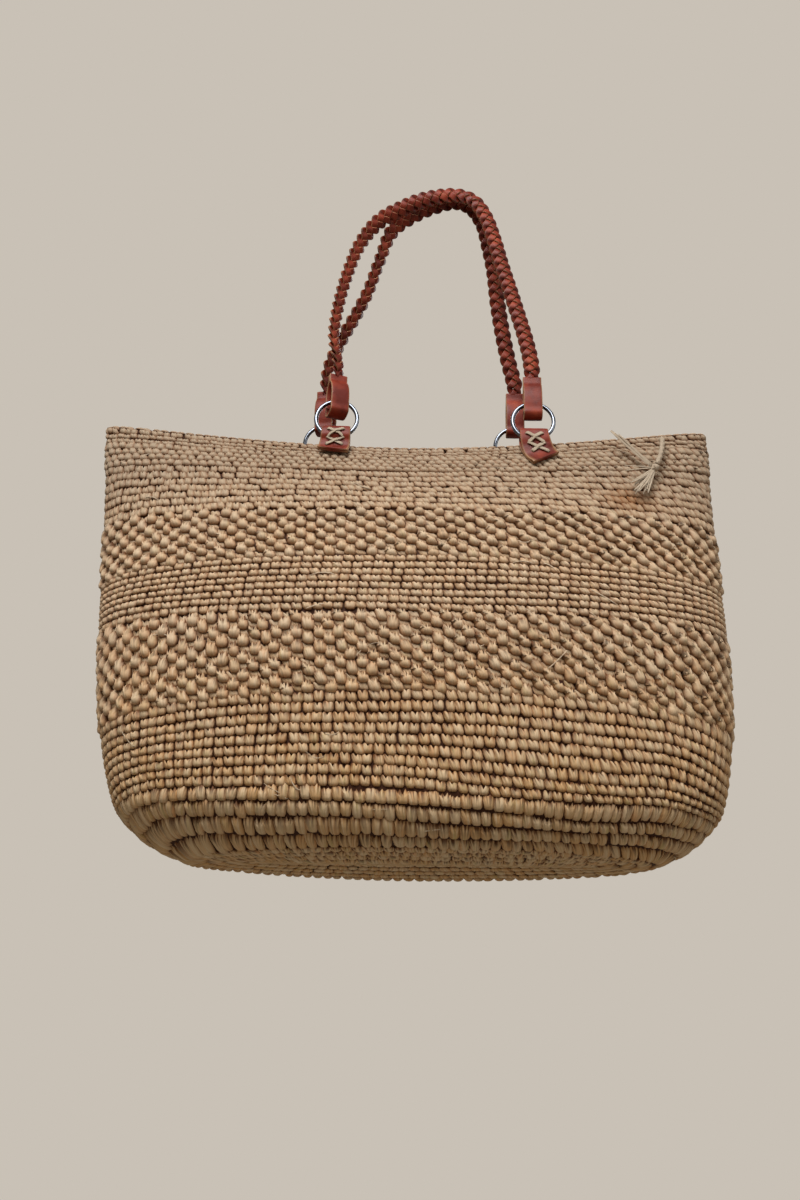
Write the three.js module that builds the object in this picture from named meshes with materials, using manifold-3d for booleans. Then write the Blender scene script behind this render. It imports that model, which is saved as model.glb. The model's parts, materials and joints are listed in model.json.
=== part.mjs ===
// Raffia tote bag: a crocheted shell with an oval flat base and an open mouth, four folded leather tabs
// sewn on its rim, four steel rings, two braided leather handles on strap loops, and a raffia tie.
// Millimetres, +Z up, the front towards -Y, the origin in the middle of the base.
import * as THREE from 'three';
import { mergeVertices } from 'three/addons/utils/BufferGeometryUtils.js';
import Module from 'manifold-3d';

// Bag shell
const BASE_HALF_LENGTH = 160;
const BASE_HALF_DEPTH = 46;
const BELLY_HALF_WIDTH = 222;
const BELLY_HALF_DEPTH = 80;
const BELLY_HEIGHT = 99;
const BELLY_END_DROP = 9;
// The foot's three sections, from the base up: how far they stand in from the belly, and their heights.
const FOOT_INS = [38, 22, 10];
const FOOT_BACKS = [18, 7, 0];
const FOOT_HEIGHTS = [4, 15, 35];
const FOOT_END_RISES = [7, 9, 6];
// The three sections over the belly and the one under the rim: how far they lie below the rim, and how
// much deeper than the rim they are, or shallower than the belly.
const SHOULDER_DROP = 150;
const SHOULDER_BACK = 4;
const NECK_DROP = 105;
const NECK_SPREAD = 48;
const COLLAR_DROP = 64;
const COLLAR_SPREAD = 36;
const LIP_DROP = 25;
const LIP_SPREAD = 15;
const RIM_HALF_WIDTH = 228;
const RIM_HALF_DEPTH = 20;
const RIM_HEIGHT = 309;
const EAR_RISE = 24;
const EAR_POWER = 1.8;
const MOUTH_SWAY = -12;
const WALL = 5;
const END_WALL = 9;
const RIM_CREST = 1.2;

// Rings
const RING_OUTER = 34;
const RING_WIRE = 3.2;

// Leather tabs
const LEATHER = 1.7;
const TAB_WIDTH = 21;
const TAB_FLARE = 1.14;
const TAB_STAND = -2;
const TAB_DROP = 28.5;
const TAB_BEND = 1.7;
const STITCH_WIDTH = 2.4;
const STITCH_THICKNESS = 1;
const STITCH_SPREAD = 13;
const STITCH_TALL = 7;

// Handles
const RING_SPACING = 147;
const FRONT_HANDLE_CENTRE = 8.5;
const BACK_HANDLE_CENTRE = -2;
const LOOP_WIDTH = 14;
const LOOP_HEIGHT = 29;
const LOOP_BULGE = 4.4;
// The strap loop's inner outline above the ring's wire: shares of the bulge and of the loop's height.
const LOOP_SIDE = [[1, 0.36], [1, 0.66], [0.62, 0.92]];
const BRAID_WIDTH = 14;
const BRAID_THICKNESS = 9;
const HANDLE_REACH = 200;

// Raffia tie
const TIE_DIAMETER = 4;
const KNOT_DIAMETER = 8;
const TASSEL_LENGTH = 27;
const TASSEL_WIDTH = 14;
const TASSEL_THICKNESS = 5;
const BLADE_WIDTH = 4.5;
const BLADE_THICKNESS = 1.2;

// Gaps between neighbours
const SEAT_GAP = 0.3;
const RUNNING_GAP = 0.3;

const RAFFIA = { color: 0xb89a70, roughness: 0.8, metalness: 0 };
const PALE_RAFFIA = { color: 0xd9c9a3, roughness: 0.75, metalness: 0 };
const BROWN_LEATHER = { color: 0x8a3a22, roughness: 0.5, metalness: 0 };
const STEEL = { color: 0xc9cbce, roughness: 0.2, metalness: 1 };

// The shell's level sections, from the base to the rim: half width, half depth, height at the front's
// middle, rise from there to the two ends, and the power of the superellipse that rounds the corners.
const SECTIONS = [
  [BASE_HALF_LENGTH, BASE_HALF_DEPTH, 0, 0, 2.1],
  ...[2.2, 2.3, 2.35].map((power, row) => [
    BELLY_HALF_WIDTH - FOOT_INS[row], BELLY_HALF_DEPTH - FOOT_BACKS[row], FOOT_HEIGHTS[row],
    FOOT_END_RISES[row], power,
  ]),
  [BELLY_HALF_WIDTH, BELLY_HALF_DEPTH, BELLY_HEIGHT, -BELLY_END_DROP, 2.35],
  [RIM_HALF_WIDTH - 2, BELLY_HALF_DEPTH - SHOULDER_BACK, RIM_HEIGHT - SHOULDER_DROP, 2, 2.3],
  [RIM_HALF_WIDTH - 2, RIM_HALF_DEPTH + NECK_SPREAD, RIM_HEIGHT - NECK_DROP, -3, 2.25],
  [RIM_HALF_WIDTH - 2, RIM_HALF_DEPTH + COLLAR_SPREAD, RIM_HEIGHT - COLLAR_DROP, 3, 2.2],
  [RIM_HALF_WIDTH - 1, RIM_HALF_DEPTH + LIP_SPREAD, RIM_HEIGHT - LIP_DROP, EAR_RISE * 0.6, 2.1],
  [RIM_HALF_WIDTH, RIM_HALF_DEPTH, RIM_HEIGHT, EAR_RISE, 2],
];
const LAST = SECTIONS.length - 1;

// One column of the section table at a level between sections, on a smooth curve through them all.
function sectionValue(column, level) {
  const at = (index) => SECTIONS[Math.min(Math.max(index, 0), LAST)][column];
  const lower = Math.min(Math.floor(level), LAST - 1);
  const t = level - lower;
  const [start, end] = [at(lower), at(lower + 1)];
  const slopeIn = lower === 0 ? end - start : (end - at(lower - 1)) / 2;
  const slopeOut = lower === LAST - 1 ? end - start : (at(lower + 2) - start) / 2;
  const [t2, t3] = [t * t, t * t * t];
  const ends = (2 * t3 - 3 * t2 + 1) * start + (3 * t2 - 2 * t3) * end;
  return ends + (t3 - 2 * t2 + t) * slopeIn + (t3 - t2) * slopeOut;
}

// A point of the shell's outer face (inset 0) or inner face (inset 1) at a level and an angle.
function shellPoint(level, angle, inset = 0) {
  const width = sectionValue(0, level) - inset * END_WALL;
  const depth = sectionValue(1, level) - inset * WALL;
  const power = 2 / sectionValue(4, level);
  const across = Math.sign(Math.cos(angle)) * Math.abs(Math.cos(angle)) ** power;
  const deep = Math.sign(Math.sin(angle)) * Math.abs(Math.sin(angle)) ** power;
  const height = Math.max(sectionValue(2, level) + sectionValue(3, level) * Math.abs(across) ** EAR_POWER, 0);
  const lift = inset * WALL * (1 - level / LAST);
  const sway = MOUTH_SWAY * height / RIM_HEIGHT;
  return new THREE.Vector3(width * across + sway, depth * deep, height + lift);
}

// The outer face at a level, straight in from a place across the front.
function wallPoint(level, x) {
  const sway = MOUTH_SWAY * sectionValue(2, level) / RIM_HEIGHT;
  const share = Math.abs(x - sway) / sectionValue(0, level);
  const point = shellPoint(level, Math.acos(share ** (sectionValue(4, level) / 2)));
  return { y: -point.y, z: point.z };
}

function makeMesh(name, geometry, finish) {
  const mesh = new THREE.Mesh(geometry, new THREE.MeshStandardMaterial(finish));
  mesh.name = name;
  return mesh;
}

// Rings of points joined into one closed skin: each ring has the same count, a pole closes each end.
function skinGeometry(rings, firstPole, lastPole) {
  const count = rings[0].length;
  const points = [firstPole, ...rings.flat(), lastPole];
  const faces = [];
  const at = (ring, place) => 1 + ring * count + (place % count);
  for (let place = 0; place < count; place += 1) {
    faces.push(0, at(0, place + 1), at(0, place));
    faces.push(points.length - 1, at(rings.length - 1, place), at(rings.length - 1, place + 1));
    for (let ring = 0; ring < rings.length - 1; ring += 1) {
      faces.push(at(ring, place), at(ring, place + 1), at(ring + 1, place + 1));
      faces.push(at(ring, place), at(ring + 1, place + 1), at(ring + 1, place));
    }
  }
  const geometry = new THREE.BufferGeometry().setFromPoints(points);
  geometry.setIndex(faces);
  geometry.computeVertexNormals();
  return geometry;
}

function bagBody() {
  const around = 56;
  const angles = Array.from({ length: around }, (_, place) => 2 * Math.PI * place / around);
  const ring = (level, inset) => angles.map((angle) => shellPoint(level, angle, inset));
  const outerLevels = [0, 0.5, 1, 1.5, 2, 2.5, 3, 3.4, 3.8, 4.3, 5, 5.6, 6.2, 6.8, 7.4, 8, 8.5, LAST];
  const innerLevels = [LAST, 8.5, 8, 7.2, 6.4, 5.6, 4.8, 4, 3.5, 3, 2.4, 1.8, 1.2, 0.6, 0];
  const crest = ring(LAST, 0.5).map((point) => point.setZ(point.z + RIM_CREST));
  const rings = [
    ...outerLevels.map((level) => ring(level, 0)),
    crest,
    ...innerLevels.map((level) => ring(level, 1)),
  ];
  return skinGeometry(rings, new THREE.Vector3(0, 0, 0), new THREE.Vector3(0, 0, WALL));
}

// A ring turns in a fold of a given width: the wire there lies between a near and a far circle. The axis is
// midway, at this distance from the ring's centre, and the wire stays within the reach of that axis.
function foldAxis(width) {
  const near = Math.sqrt((RING_OUTER / 2 - RING_WIRE) ** 2 - (width / 2) ** 2);
  const far = RING_OUTER / 2;
  return { offset: (near + far) / 2, reach: (far - near) / 2 };
}
const TAB_FOLD = foldAxis(TAB_WIDTH);
const LOOP_FOLD = foldAxis(LOOP_WIDTH);
const TAB_TUNNEL = TAB_FOLD.reach + RUNNING_GAP;
const TAB_ROUND = TAB_TUNNEL + LEATHER;
const RING_RISE = TAB_FOLD.offset + LOOP_FOLD.offset;

// Each side's fittings stand in one leaning frame. The tabs lean with the wall below the rim, the rings and
// the handle lean so that the two handles meet side by side at their tops.
function sideFrame(side, centre) {
  const places = [centre - RING_SPACING / 2, centre + RING_SPACING / 2];
  const [top, low] = [wallPoint(LAST, centre), wallPoint(LAST - 1, centre)];
  const tabLean = Math.atan2(top.y - low.y, top.z - low.z);
  // How far the wall under the tabs stands out, square to that lean.
  let proud = -Infinity;
  for (const place of places) {
    for (const shift of [-0.55, 0, 0.55]) {
      for (const level of [LAST, LAST - 0.4, LAST - 0.8, LAST - 1.2]) {
        const { y, z } = wallPoint(level, place + shift * TAB_WIDTH);
        proud = Math.max(proud, -y * Math.cos(tabLean) + (z - RIM_HEIGHT) * Math.sin(tabLean));
      }
    }
  }
  const out = proud + SEAT_GAP + TAB_ROUND;
  const y = TAB_STAND * Math.sin(tabLean) - out * Math.cos(tabLean);
  const z = RIM_HEIGHT + TAB_STAND * Math.cos(tabLean) + out * Math.sin(tabLean);
  const meet = BRAID_THICKNESS / 2 + SEAT_GAP;
  const lean = Math.asin((-y - meet) / (RING_RISE + HANDLE_REACH));
  return { side, centre, places, y, z, tabLean, lean };
}

// The tab seen from its side: a flat two-layer flap whose back is straight, and a round tunnel at its top
// that bulges to the front down to TAB_BEND times its radius. The fold's axis is the origin.
function tabGeometry() {
  const back = TAB_ROUND;
  const front = TAB_ROUND - 2 * LEATHER;
  const shape = new THREE.Shape();
  const tangent = { n: front, s: -TAB_ROUND * TAB_BEND };
  const distance = Math.hypot(tangent.n, tangent.s);
  const turn = Math.atan2(tangent.s, tangent.n) - Math.acos(TAB_ROUND / distance);
  shape.moveTo(back, -TAB_DROP);
  shape.lineTo(back, 0);
  shape.absarc(0, 0, TAB_ROUND, 0, turn + 2 * Math.PI, false);
  shape.lineTo(front, tangent.s);
  shape.lineTo(front, -TAB_DROP);
  const tunnel = new THREE.Path();
  tunnel.absarc(0, 0, TAB_TUNNEL, 0, 2 * Math.PI, true);
  shape.holes.push(tunnel);
  const geometry = new THREE.ExtrudeGeometry(shape, { depth: TAB_WIDTH, bevelEnabled: false, curveSegments: 16 });
  geometry.translate(0, 0, -TAB_WIDTH / 2);
  const place = geometry.attributes.position;
  for (let index = 0; index < place.count; index += 1) {
    const depth = Math.max(-place.getY(index) / TAB_DROP, 0);
    place.setZ(index, place.getZ(index) * (1 + (TAB_FLARE - 1) * depth));
  }
  return geometry;
}

// A closed mesh as a solid that can be joined with another.
const wasm = await Module();
wasm.setup();
function solid(geometry) {
  const bare = geometry.clone();
  bare.deleteAttribute('normal');
  bare.deleteAttribute('uv');
  const merged = mergeVertices(bare);
  return new wasm.Manifold(new wasm.Mesh({
    numProp: 3,
    vertProperties: new Float32Array(merged.attributes.position.array),
    triVerts: new Uint32Array(merged.index.array),
  }));
}

function geometryOf(manifold) {
  const mesh = manifold.getMesh();
  const geometry = new THREE.BufferGeometry();
  geometry.setAttribute('position', new THREE.BufferAttribute(new Float32Array(mesh.vertProperties), 3));
  geometry.setIndex(Array.from(mesh.triVerts));
  geometry.computeVertexNormals();
  return geometry;
}

// Two crossed stitches, one above the other, flat on the tab's front.
function stitchGeometry() {
  const lean = Math.atan2(STITCH_TALL, STITCH_SPREAD);
  const length = Math.hypot(STITCH_SPREAD, STITCH_TALL) + STITCH_WIDTH;
  let joined = null;
  for (const row of [-0.5, 0.5]) {
    for (const way of [-1, 1]) {
      const bar = new THREE.BoxGeometry(length, STITCH_WIDTH, STITCH_THICKNESS);
      bar.rotateZ(way * lean);
      bar.translate(0, row * STITCH_TALL, 0);
      joined = joined ? joined.add(solid(bar)) : solid(bar);
    }
  }
  return geometryOf(joined);
}

function ringGeometry() {
  return new THREE.TorusGeometry((RING_OUTER - RING_WIRE) / 2, RING_WIRE / 2, 8, 32);
}

// The strap loop seen from its side: a band of leather that goes down round the ring's wire and up again.
// The axis of the wire is the origin; the loop narrows again under the braid.
function loopGeometry() {
  const round = LOOP_FOLD.reach + RUNNING_GAP;
  const inner = [];
  for (let step = 0; step <= 8; step += 1) {
    const angle = Math.PI + Math.PI * step / 8;
    inner.push(new THREE.Vector2(round * Math.cos(angle), round * Math.sin(angle)));
  }
  const top = LOOP_HEIGHT - LEATHER;
  const side = LOOP_SIDE.map(([out, up]) => new THREE.Vector2(LOOP_BULGE * out, top * up));
  inner.push(...side, new THREE.Vector2(0, top));
  side.reverse().forEach((point) => inner.push(new THREE.Vector2(-point.x, point.y)));
  const count = inner.length;
  const outer = inner.map((point, index) => {
    const before = inner[(index + count - 1) % count];
    const after = inner[(index + 1) % count];
    const along = after.clone().sub(before).normalize();
    return new THREE.Vector2(point.x + along.y * LEATHER, point.y - along.x * LEATHER);
  });
  const shape = new THREE.Shape(outer);
  shape.holes.push(new THREE.Path(inner));
  const geometry = new THREE.ExtrudeGeometry(shape, { depth: LOOP_WIDTH, bevelEnabled: false });
  geometry.translate(0, 0, -LOOP_WIDTH / 2);
  return geometry;
}

// The braid's line in its handle's plane: across from the handle's centre as a share of half the rings'
// spacing, and up from the rings' top axis as a share of the handle's reach.
const FRONT_LINE = [
  [-1.05, 0.28], [-1.03, 0.41], [-0.94, 0.585], [-0.8, 0.75], [-0.61, 0.86], [-0.37, 0.925], [-0.11, 0.975],
  [0.23, 1], [0.41, 0.975], [0.54, 0.9], [0.63, 0.79], [0.71, 0.66], [0.8, 0.53], [0.88, 0.41], [0.95, 0.3],
];
const BACK_LINE = [
  [-0.97, 0.26], [-0.84, 0.38], [-0.69, 0.49], [-0.57, 0.59], [-0.45, 0.73], [-0.31, 0.87], [-0.08, 0.94],
  [0.14, 0.98], [0.37, 1], [0.54, 0.975], [0.67, 0.9], [0.735, 0.8], [0.79, 0.69], [0.83, 0.54], [0.88, 0.41],
  [0.94, 0.29],
];
const FOOT_STRAIGHT = 8;

function braidGeometry(line) {
  const start = LOOP_HEIGHT + SEAT_GAP;
  const foot = (side) => [
    new THREE.Vector3(side * RING_SPACING / 2, 0, start),
    new THREE.Vector3(side * RING_SPACING / 2, 0, start + FOOT_STRAIGHT),
  ];
  const middle = line.map(([across, up]) => (
    new THREE.Vector3(across * RING_SPACING / 2, 0, up * HANDLE_REACH)
  ));
  const curve = new THREE.CatmullRomCurve3([...foot(-1), ...middle, ...foot(1).reverse()], false, 'centripetal');
  const section = new THREE.Shape();
  section.absellipse(0, 0, BRAID_THICKNESS / 2, BRAID_WIDTH / 2, 0, 2 * Math.PI);
  return new THREE.ExtrudeGeometry(section, { steps: 52, curveSegments: 5, extrudePath: curve });
}

// An outline that was drawn across X and up Y turns so that its X points at the bag and its Y points up.
function standUp(mesh, side) {
  const inward = new THREE.Vector3(0, -side, 0);
  const up = new THREE.Vector3(0, 0, 1);
  const across = new THREE.Vector3().crossVectors(inward, up);
  mesh.setRotationFromMatrix(new THREE.Matrix4().makeBasis(inward, up, across));
}

// One side's tabs, stitches, rings, strap loops and handle.
function addSide(parent, label, frame, line) {
  const tabs = new THREE.Group();
  tabs.position.set(0, frame.side * -frame.y, frame.z);
  tabs.rotation.x = frame.side * frame.tabLean;
  const rings = new THREE.Group();
  rings.position.copy(tabs.position);
  rings.rotation.x = frame.side * frame.lean;
  const handle = new THREE.Group();
  handle.position.z = RING_RISE;
  rings.add(handle);
  parent.add(tabs, rings);
  for (const [index, hand] of ['left', 'right'].entries()) {
    const tab = makeMesh(`tab_${label}_${hand}`, tabGeometry(), BROWN_LEATHER);
    standUp(tab, frame.side);
    tab.position.x = frame.places[index];
    const stitch = makeMesh(`tab_stitches_${label}_${hand}`, stitchGeometry(), PALE_RAFFIA);
    const face = TAB_ROUND - 2 * LEATHER;
    stitch.rotation.x = Math.PI / 2;
    stitch.position.set(
      frame.places[index],
      frame.side * -(face - SEAT_GAP - STITCH_THICKNESS / 2),
      STITCH_TALL + STITCH_WIDTH - TAB_DROP,
    );
    tabs.add(tab, stitch);
    const ring = makeMesh(`ring_${label}_${hand}`, ringGeometry(), STEEL);
    ring.rotation.x = Math.PI / 2;
    ring.position.set(frame.places[index], 0, TAB_FOLD.offset);
    rings.add(ring);
    const loop = makeMesh(`strap_loop_${label}_${hand}`, loopGeometry(), BROWN_LEATHER);
    standUp(loop, frame.side);
    loop.position.x = frame.places[index];
    handle.add(loop);
  }
  const braid = makeMesh(`handle_braid_${label}`, braidGeometry(line), BROWN_LEATHER);
  braid.position.x = frame.centre;
  handle.add(braid);
}

// The tie's cord, from under the rim's edge down the outside of the wall to its knot.
const TIE_ROUTE = [
  [178.5, -14.2, 323], [178.4, -17.6, 321], [178, -20.2, 316], [176.8, -23, 309], [174.6, -26, 301.5],
  [171.6, -28.6, 294.6],
];
const BLADE_TIP = [142, -26, 333];

function addTie(parent) {
  const route = TIE_ROUTE.map((point) => new THREE.Vector3(...point));
  const curve = new THREE.CatmullRomCurve3(route, false, 'centripetal');
  const section = new THREE.Shape();
  section.absarc(0, 0, TIE_DIAMETER / 2, 0, 2 * Math.PI);
  const tube = new THREE.ExtrudeGeometry(section, { steps: 8, curveSegments: 4, extrudePath: curve });
  parent.add(makeMesh('tie_cord', tube, RAFFIA));
  const last = route[route.length - 1];
  const down = curve.getTangent(1);
  const knotAt = last.clone().addScaledVector(down, KNOT_DIAMETER / 2 + SEAT_GAP);
  const knot = makeMesh('tie_knot', new THREE.SphereGeometry(KNOT_DIAMETER / 2, 10, 8), RAFFIA);
  knot.position.copy(knotAt);
  parent.add(knot);
  const hang = new THREE.Vector3(-0.52, -0.36, -0.77).normalize();
  const tasselShape = new THREE.CylinderGeometry(TASSEL_WIDTH * 0.18, TASSEL_WIDTH / 2, TASSEL_LENGTH, 10);
  tasselShape.scale(1, 1, TASSEL_THICKNESS / TASSEL_WIDTH);
  const tassel = makeMesh('tie_tassel', tasselShape, PALE_RAFFIA);
  const gap = KNOT_DIAMETER / 2 + SEAT_GAP;
  tassel.position.copy(knotAt).addScaledVector(hang, gap + TASSEL_LENGTH / 2);
  const face = new THREE.Vector3(0, -1, 0).projectOnPlane(hang).normalize();
  const across = new THREE.Vector3().crossVectors(hang.clone().negate(), face);
  tassel.setRotationFromMatrix(new THREE.Matrix4().makeBasis(across, hang.clone().negate(), face));
  parent.add(tassel);
  const tip = new THREE.Vector3(...BLADE_TIP);
  const rise = tip.clone().sub(knotAt).normalize();
  const foot = knotAt.clone().addScaledVector(rise, gap);
  const length = tip.distanceTo(foot);
  const leaf = new THREE.Shape();
  leaf.moveTo(-BLADE_WIDTH * 0.2, 0);
  leaf.lineTo(BLADE_WIDTH * 0.2, 0);
  leaf.quadraticCurveTo(BLADE_WIDTH * 0.9, length * 0.45, BLADE_WIDTH * 0.1, length);
  leaf.lineTo(-BLADE_WIDTH * 0.1, length);
  leaf.quadraticCurveTo(-BLADE_WIDTH * 0.9, length * 0.45, -BLADE_WIDTH * 0.2, 0);
  const sheet = new THREE.ExtrudeGeometry(leaf, { depth: BLADE_THICKNESS, bevelEnabled: false, curveSegments: 6 });
  sheet.translate(0, 0, -BLADE_THICKNESS / 2);
  const blade = makeMesh('tie_blades', sheet, PALE_RAFFIA);
  const front = new THREE.Vector3(0, -1, 0).projectOnPlane(rise).normalize();
  const side = new THREE.Vector3().crossVectors(rise, front);
  blade.position.copy(foot);
  blade.setRotationFromMatrix(new THREE.Matrix4().makeBasis(side, rise, front));
  parent.add(blade);
}

const group = new THREE.Group();
const bag = makeMesh('bag_body', bagBody(), RAFFIA);
group.add(bag);
const front = sideFrame(-1, FRONT_HANDLE_CENTRE);
const back = sideFrame(1, BACK_HANDLE_CENTRE);
addSide(group, 'front', front, FRONT_LINE);
addSide(group, 'back', back, BACK_LINE);
addTie(group);
// The sway draws the mouth to one side, so the whole moves until its width is centred on the origin.
group.position.x = -new THREE.Box3().setFromObject(bag).getCenter(new THREE.Vector3()).x;

export default group;
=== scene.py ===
"""Raffia tote bag: its looks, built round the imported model.

Each crochet stitch is a small closed pad laid on one surface, the bag's wall. The wall is a function of two
parameters: the course, which counts from the middle of the base up the outside, over the rim and down the
inside, and the share of the girth, from the middle of the back round to the right seen from outside.
Leather pieces are a strap's section carried along a path, the rings are tori, and the tie is a twisted cord
with a knot, a tassel and flat blades. Metres, +Z up, the front towards -Y.
"""
import json
import math

import bpy
import numpy as np
from mathutils import Matrix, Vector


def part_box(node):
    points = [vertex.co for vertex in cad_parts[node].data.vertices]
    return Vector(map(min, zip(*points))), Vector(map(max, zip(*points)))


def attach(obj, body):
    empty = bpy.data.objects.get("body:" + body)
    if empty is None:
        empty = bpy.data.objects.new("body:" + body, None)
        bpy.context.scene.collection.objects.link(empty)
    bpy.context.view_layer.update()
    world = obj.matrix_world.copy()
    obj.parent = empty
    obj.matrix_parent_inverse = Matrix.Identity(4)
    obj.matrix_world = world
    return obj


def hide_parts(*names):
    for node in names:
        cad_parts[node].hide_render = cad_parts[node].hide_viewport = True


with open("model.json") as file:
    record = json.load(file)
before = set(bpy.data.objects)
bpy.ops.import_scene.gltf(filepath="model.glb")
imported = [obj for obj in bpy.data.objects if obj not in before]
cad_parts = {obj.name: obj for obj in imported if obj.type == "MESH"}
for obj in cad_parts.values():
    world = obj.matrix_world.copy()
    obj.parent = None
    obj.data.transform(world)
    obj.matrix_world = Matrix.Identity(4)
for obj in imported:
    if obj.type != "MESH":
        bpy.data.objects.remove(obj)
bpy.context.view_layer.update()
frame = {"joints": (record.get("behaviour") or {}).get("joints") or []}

MM = 0.001
UP = np.array([0.0, 0.0, 1.0])
ACROSS = np.array([1.0, 0.0, 0.0])
chance = np.random.default_rng(20)


# The photograph's view

VIEW_TARGET = np.array([-0.0054, 0.0, 0.196])
VIEW_DISTANCE = 1.216
VIEW_RISE = math.radians(22)
VIEW_ROLL = math.radians(0.7)
LENS = 50
FILM = 36
FAR_LIMIT = 30


def aimed(name, data, place, right, up, ahead):
    """A camera or a lamp at a place, turned so that it points ahead."""
    made = bpy.data.objects.new(name, data)
    turn = Matrix(np.column_stack([right, up, -ahead]).tolist()).to_4x4()
    made.matrix_world = Matrix.Translation(place) @ turn
    bpy.context.scene.collection.objects.link(made)
    return made


def place_camera():
    """The camera stands below and in front of the bag and looks up at it."""
    ahead = np.array([0.0, math.cos(VIEW_RISE), math.sin(VIEW_RISE)])
    level_up = np.cross(ACROSS, ahead)
    right = ACROSS * math.cos(VIEW_ROLL) + level_up * math.sin(VIEW_ROLL)
    up = level_up * math.cos(VIEW_ROLL) - ACROSS * math.sin(VIEW_ROLL)
    lens = bpy.data.cameras.new("photo_view")
    lens.lens = LENS
    lens.sensor_fit = "VERTICAL"
    lens.sensor_height = FILM
    lens.clip_end = FAR_LIMIT
    place = VIEW_TARGET - ahead * VIEW_DISTANCE
    bpy.context.scene.camera = aimed("photo_view", lens, place, right, up, ahead)


place_camera()


# Meshes from arrays

CURVE_STEPS = 40


def unit(vectors):
    """Vectors of length 1 that point the same way."""
    return vectors / np.maximum(np.linalg.norm(vectors, axis=-1, keepdims=True), 1e-12)


def lengths_along(line):
    """How far along a line of points each point lies."""
    return np.concatenate([[0], np.cumsum(np.linalg.norm(np.diff(line, axis=0), axis=1))])


def signed_power(value, power):
    """A power that keeps the sign: it makes a superellipse of a circle's sine and cosine."""
    return np.sign(value) * np.abs(value) ** power


def make_piece(name, surface, material):
    """A smooth mesh object from a surface: points, a list of face arrays, and attributes by name."""
    points, faces, marks = surface
    mesh = bpy.data.meshes.new(name)
    mesh.vertices.add(len(points))
    mesh.vertices.foreach_set("co", np.asarray(points, np.float32).ravel())
    corners = np.concatenate([face.ravel() for face in faces])
    sizes = np.concatenate([np.full(len(face), face.shape[1]) for face in faces])
    mesh.loops.add(len(corners))
    mesh.loops.foreach_set("vertex_index", corners.astype(np.int32))
    mesh.polygons.add(len(sizes))
    mesh.polygons.foreach_set("loop_start", np.concatenate([[0], np.cumsum(sizes)[:-1]]).astype(np.int32))
    mesh.polygons.foreach_set("use_smooth", np.ones(len(sizes), bool))
    for key, values in marks.items():
        kind, field = ("FLOAT", "value") if values.ndim == 1 else ("FLOAT_VECTOR", "vector")
        layer = mesh.attributes.new(key, kind, "POINT")
        layer.data.foreach_set(field, values.astype(np.float32).ravel())
    mesh.update(calc_edges=True)
    mesh.materials.append(material)
    piece = bpy.data.objects.new(name, mesh)
    bpy.context.scene.collection.objects.link(piece)
    return piece


def join_parts(parts):
    """Several (points, faces, marks) sets as one, with the faces renumbered."""
    offset = 0
    faces = []
    for points, part_faces, _ in parts:
        faces += [face + offset for face in part_faces]
        offset += len(points)
    marks = {key: np.concatenate([part[2][key] for part in parts]) for key in parts[0][2]}
    return np.concatenate([part[0] for part in parts]), faces, marks


def fit_piece(name, surface, material, node, body="bag"):
    """A piece that takes the place of one of the model's nodes and moves with one of its bodies."""
    piece = make_piece(name, surface, material)
    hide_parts(node)
    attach(piece, body)
    return piece


def tube_faces(rings, count):
    """Faces of rings of points joined along a path, with a pole at each end as the last two points."""
    place = np.arange(count)
    after = (place + 1) % count
    low = np.arange(rings - 1)[:, None] * count
    quads = np.stack([low + place, low + after, low + count + after, low + count + place], -1)
    last = (rings - 1) * count
    start = np.stack([np.full(count, rings * count), after, place], -1)
    end = np.stack([np.full(count, rings * count + 1), last + place, last + after], -1)
    return [quads.reshape(-1, 4), np.concatenate([start, end])]


def carry(path, normals, section, sizes=1.0):
    """A section carried along a path. Each point is the path's point plus the section's first number along
    the side, which is the normal turned a quarter about the path, and its second along the normal."""
    ahead = unit(np.gradient(path, axis=0))
    normals = unit(normals - ahead * np.sum(normals * ahead, -1, keepdims=True))
    sides = np.cross(normals, ahead)
    shape = np.broadcast_to(section, (len(path), *section.shape[-2:])) * np.reshape(sizes, (-1, 1, 1))
    points = path[:, None] + sides[:, None] * shape[..., :1] + normals[:, None] * shape[..., 1:]
    along = lengths_along(path)
    count = shape.shape[1]
    strand = np.stack([shape[..., 0], np.repeat(along[:, None], count, 1), shape[..., 1]], -1)
    strand = np.concatenate([strand.reshape(-1, 3), [[0, along[0], 0], [0, along[-1], 0]]])
    points = np.concatenate([points.reshape(-1, 3), path[:1], path[-1:]])
    return points, tube_faces(len(path), count), {"strand": strand}


def smooth_path(points, count):
    """Evenly spaced points on a smooth line through the given ones: a cubic for each gap, whose ends point
    along the curve through three neighbours, with the gaps timed by the square root of their lengths."""
    knots = np.asarray(points, float)
    ends = np.vstack([2 * knots[0] - knots[1], knots, 2 * knots[-1] - knots[-2]])
    gaps = np.linalg.norm(np.diff(ends, axis=0), axis=1) ** 0.5
    t = np.linspace(0, 1, CURVE_STEPS, endpoint=False)[:, None]
    a, b, c, d = ends[:-3, None], ends[1:-2, None], ends[2:-1, None], ends[3:, None]
    before, here, after = (gaps[first:first + len(knots) - 1, None, None] for first in (0, 1, 2))
    leave = ((b - a) / before - (c - a) / (before + here) + (c - b) / here) * here
    arrive = ((c - b) / here - (d - b) / (here + after) + (d - c) / after) * here
    curves = (b + leave * t + (3 * c - 3 * b - 2 * leave - arrive) * t**2
              + (2 * b - 2 * c + leave + arrive) * t**3)
    line = np.vstack([curves.reshape(-1, knots.shape[1]), knots[-1:]])
    along = lengths_along(line)
    even = np.linspace(0, along[-1], count)
    return np.stack([np.interp(even, along, values) for values in line.T], 1)


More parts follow.
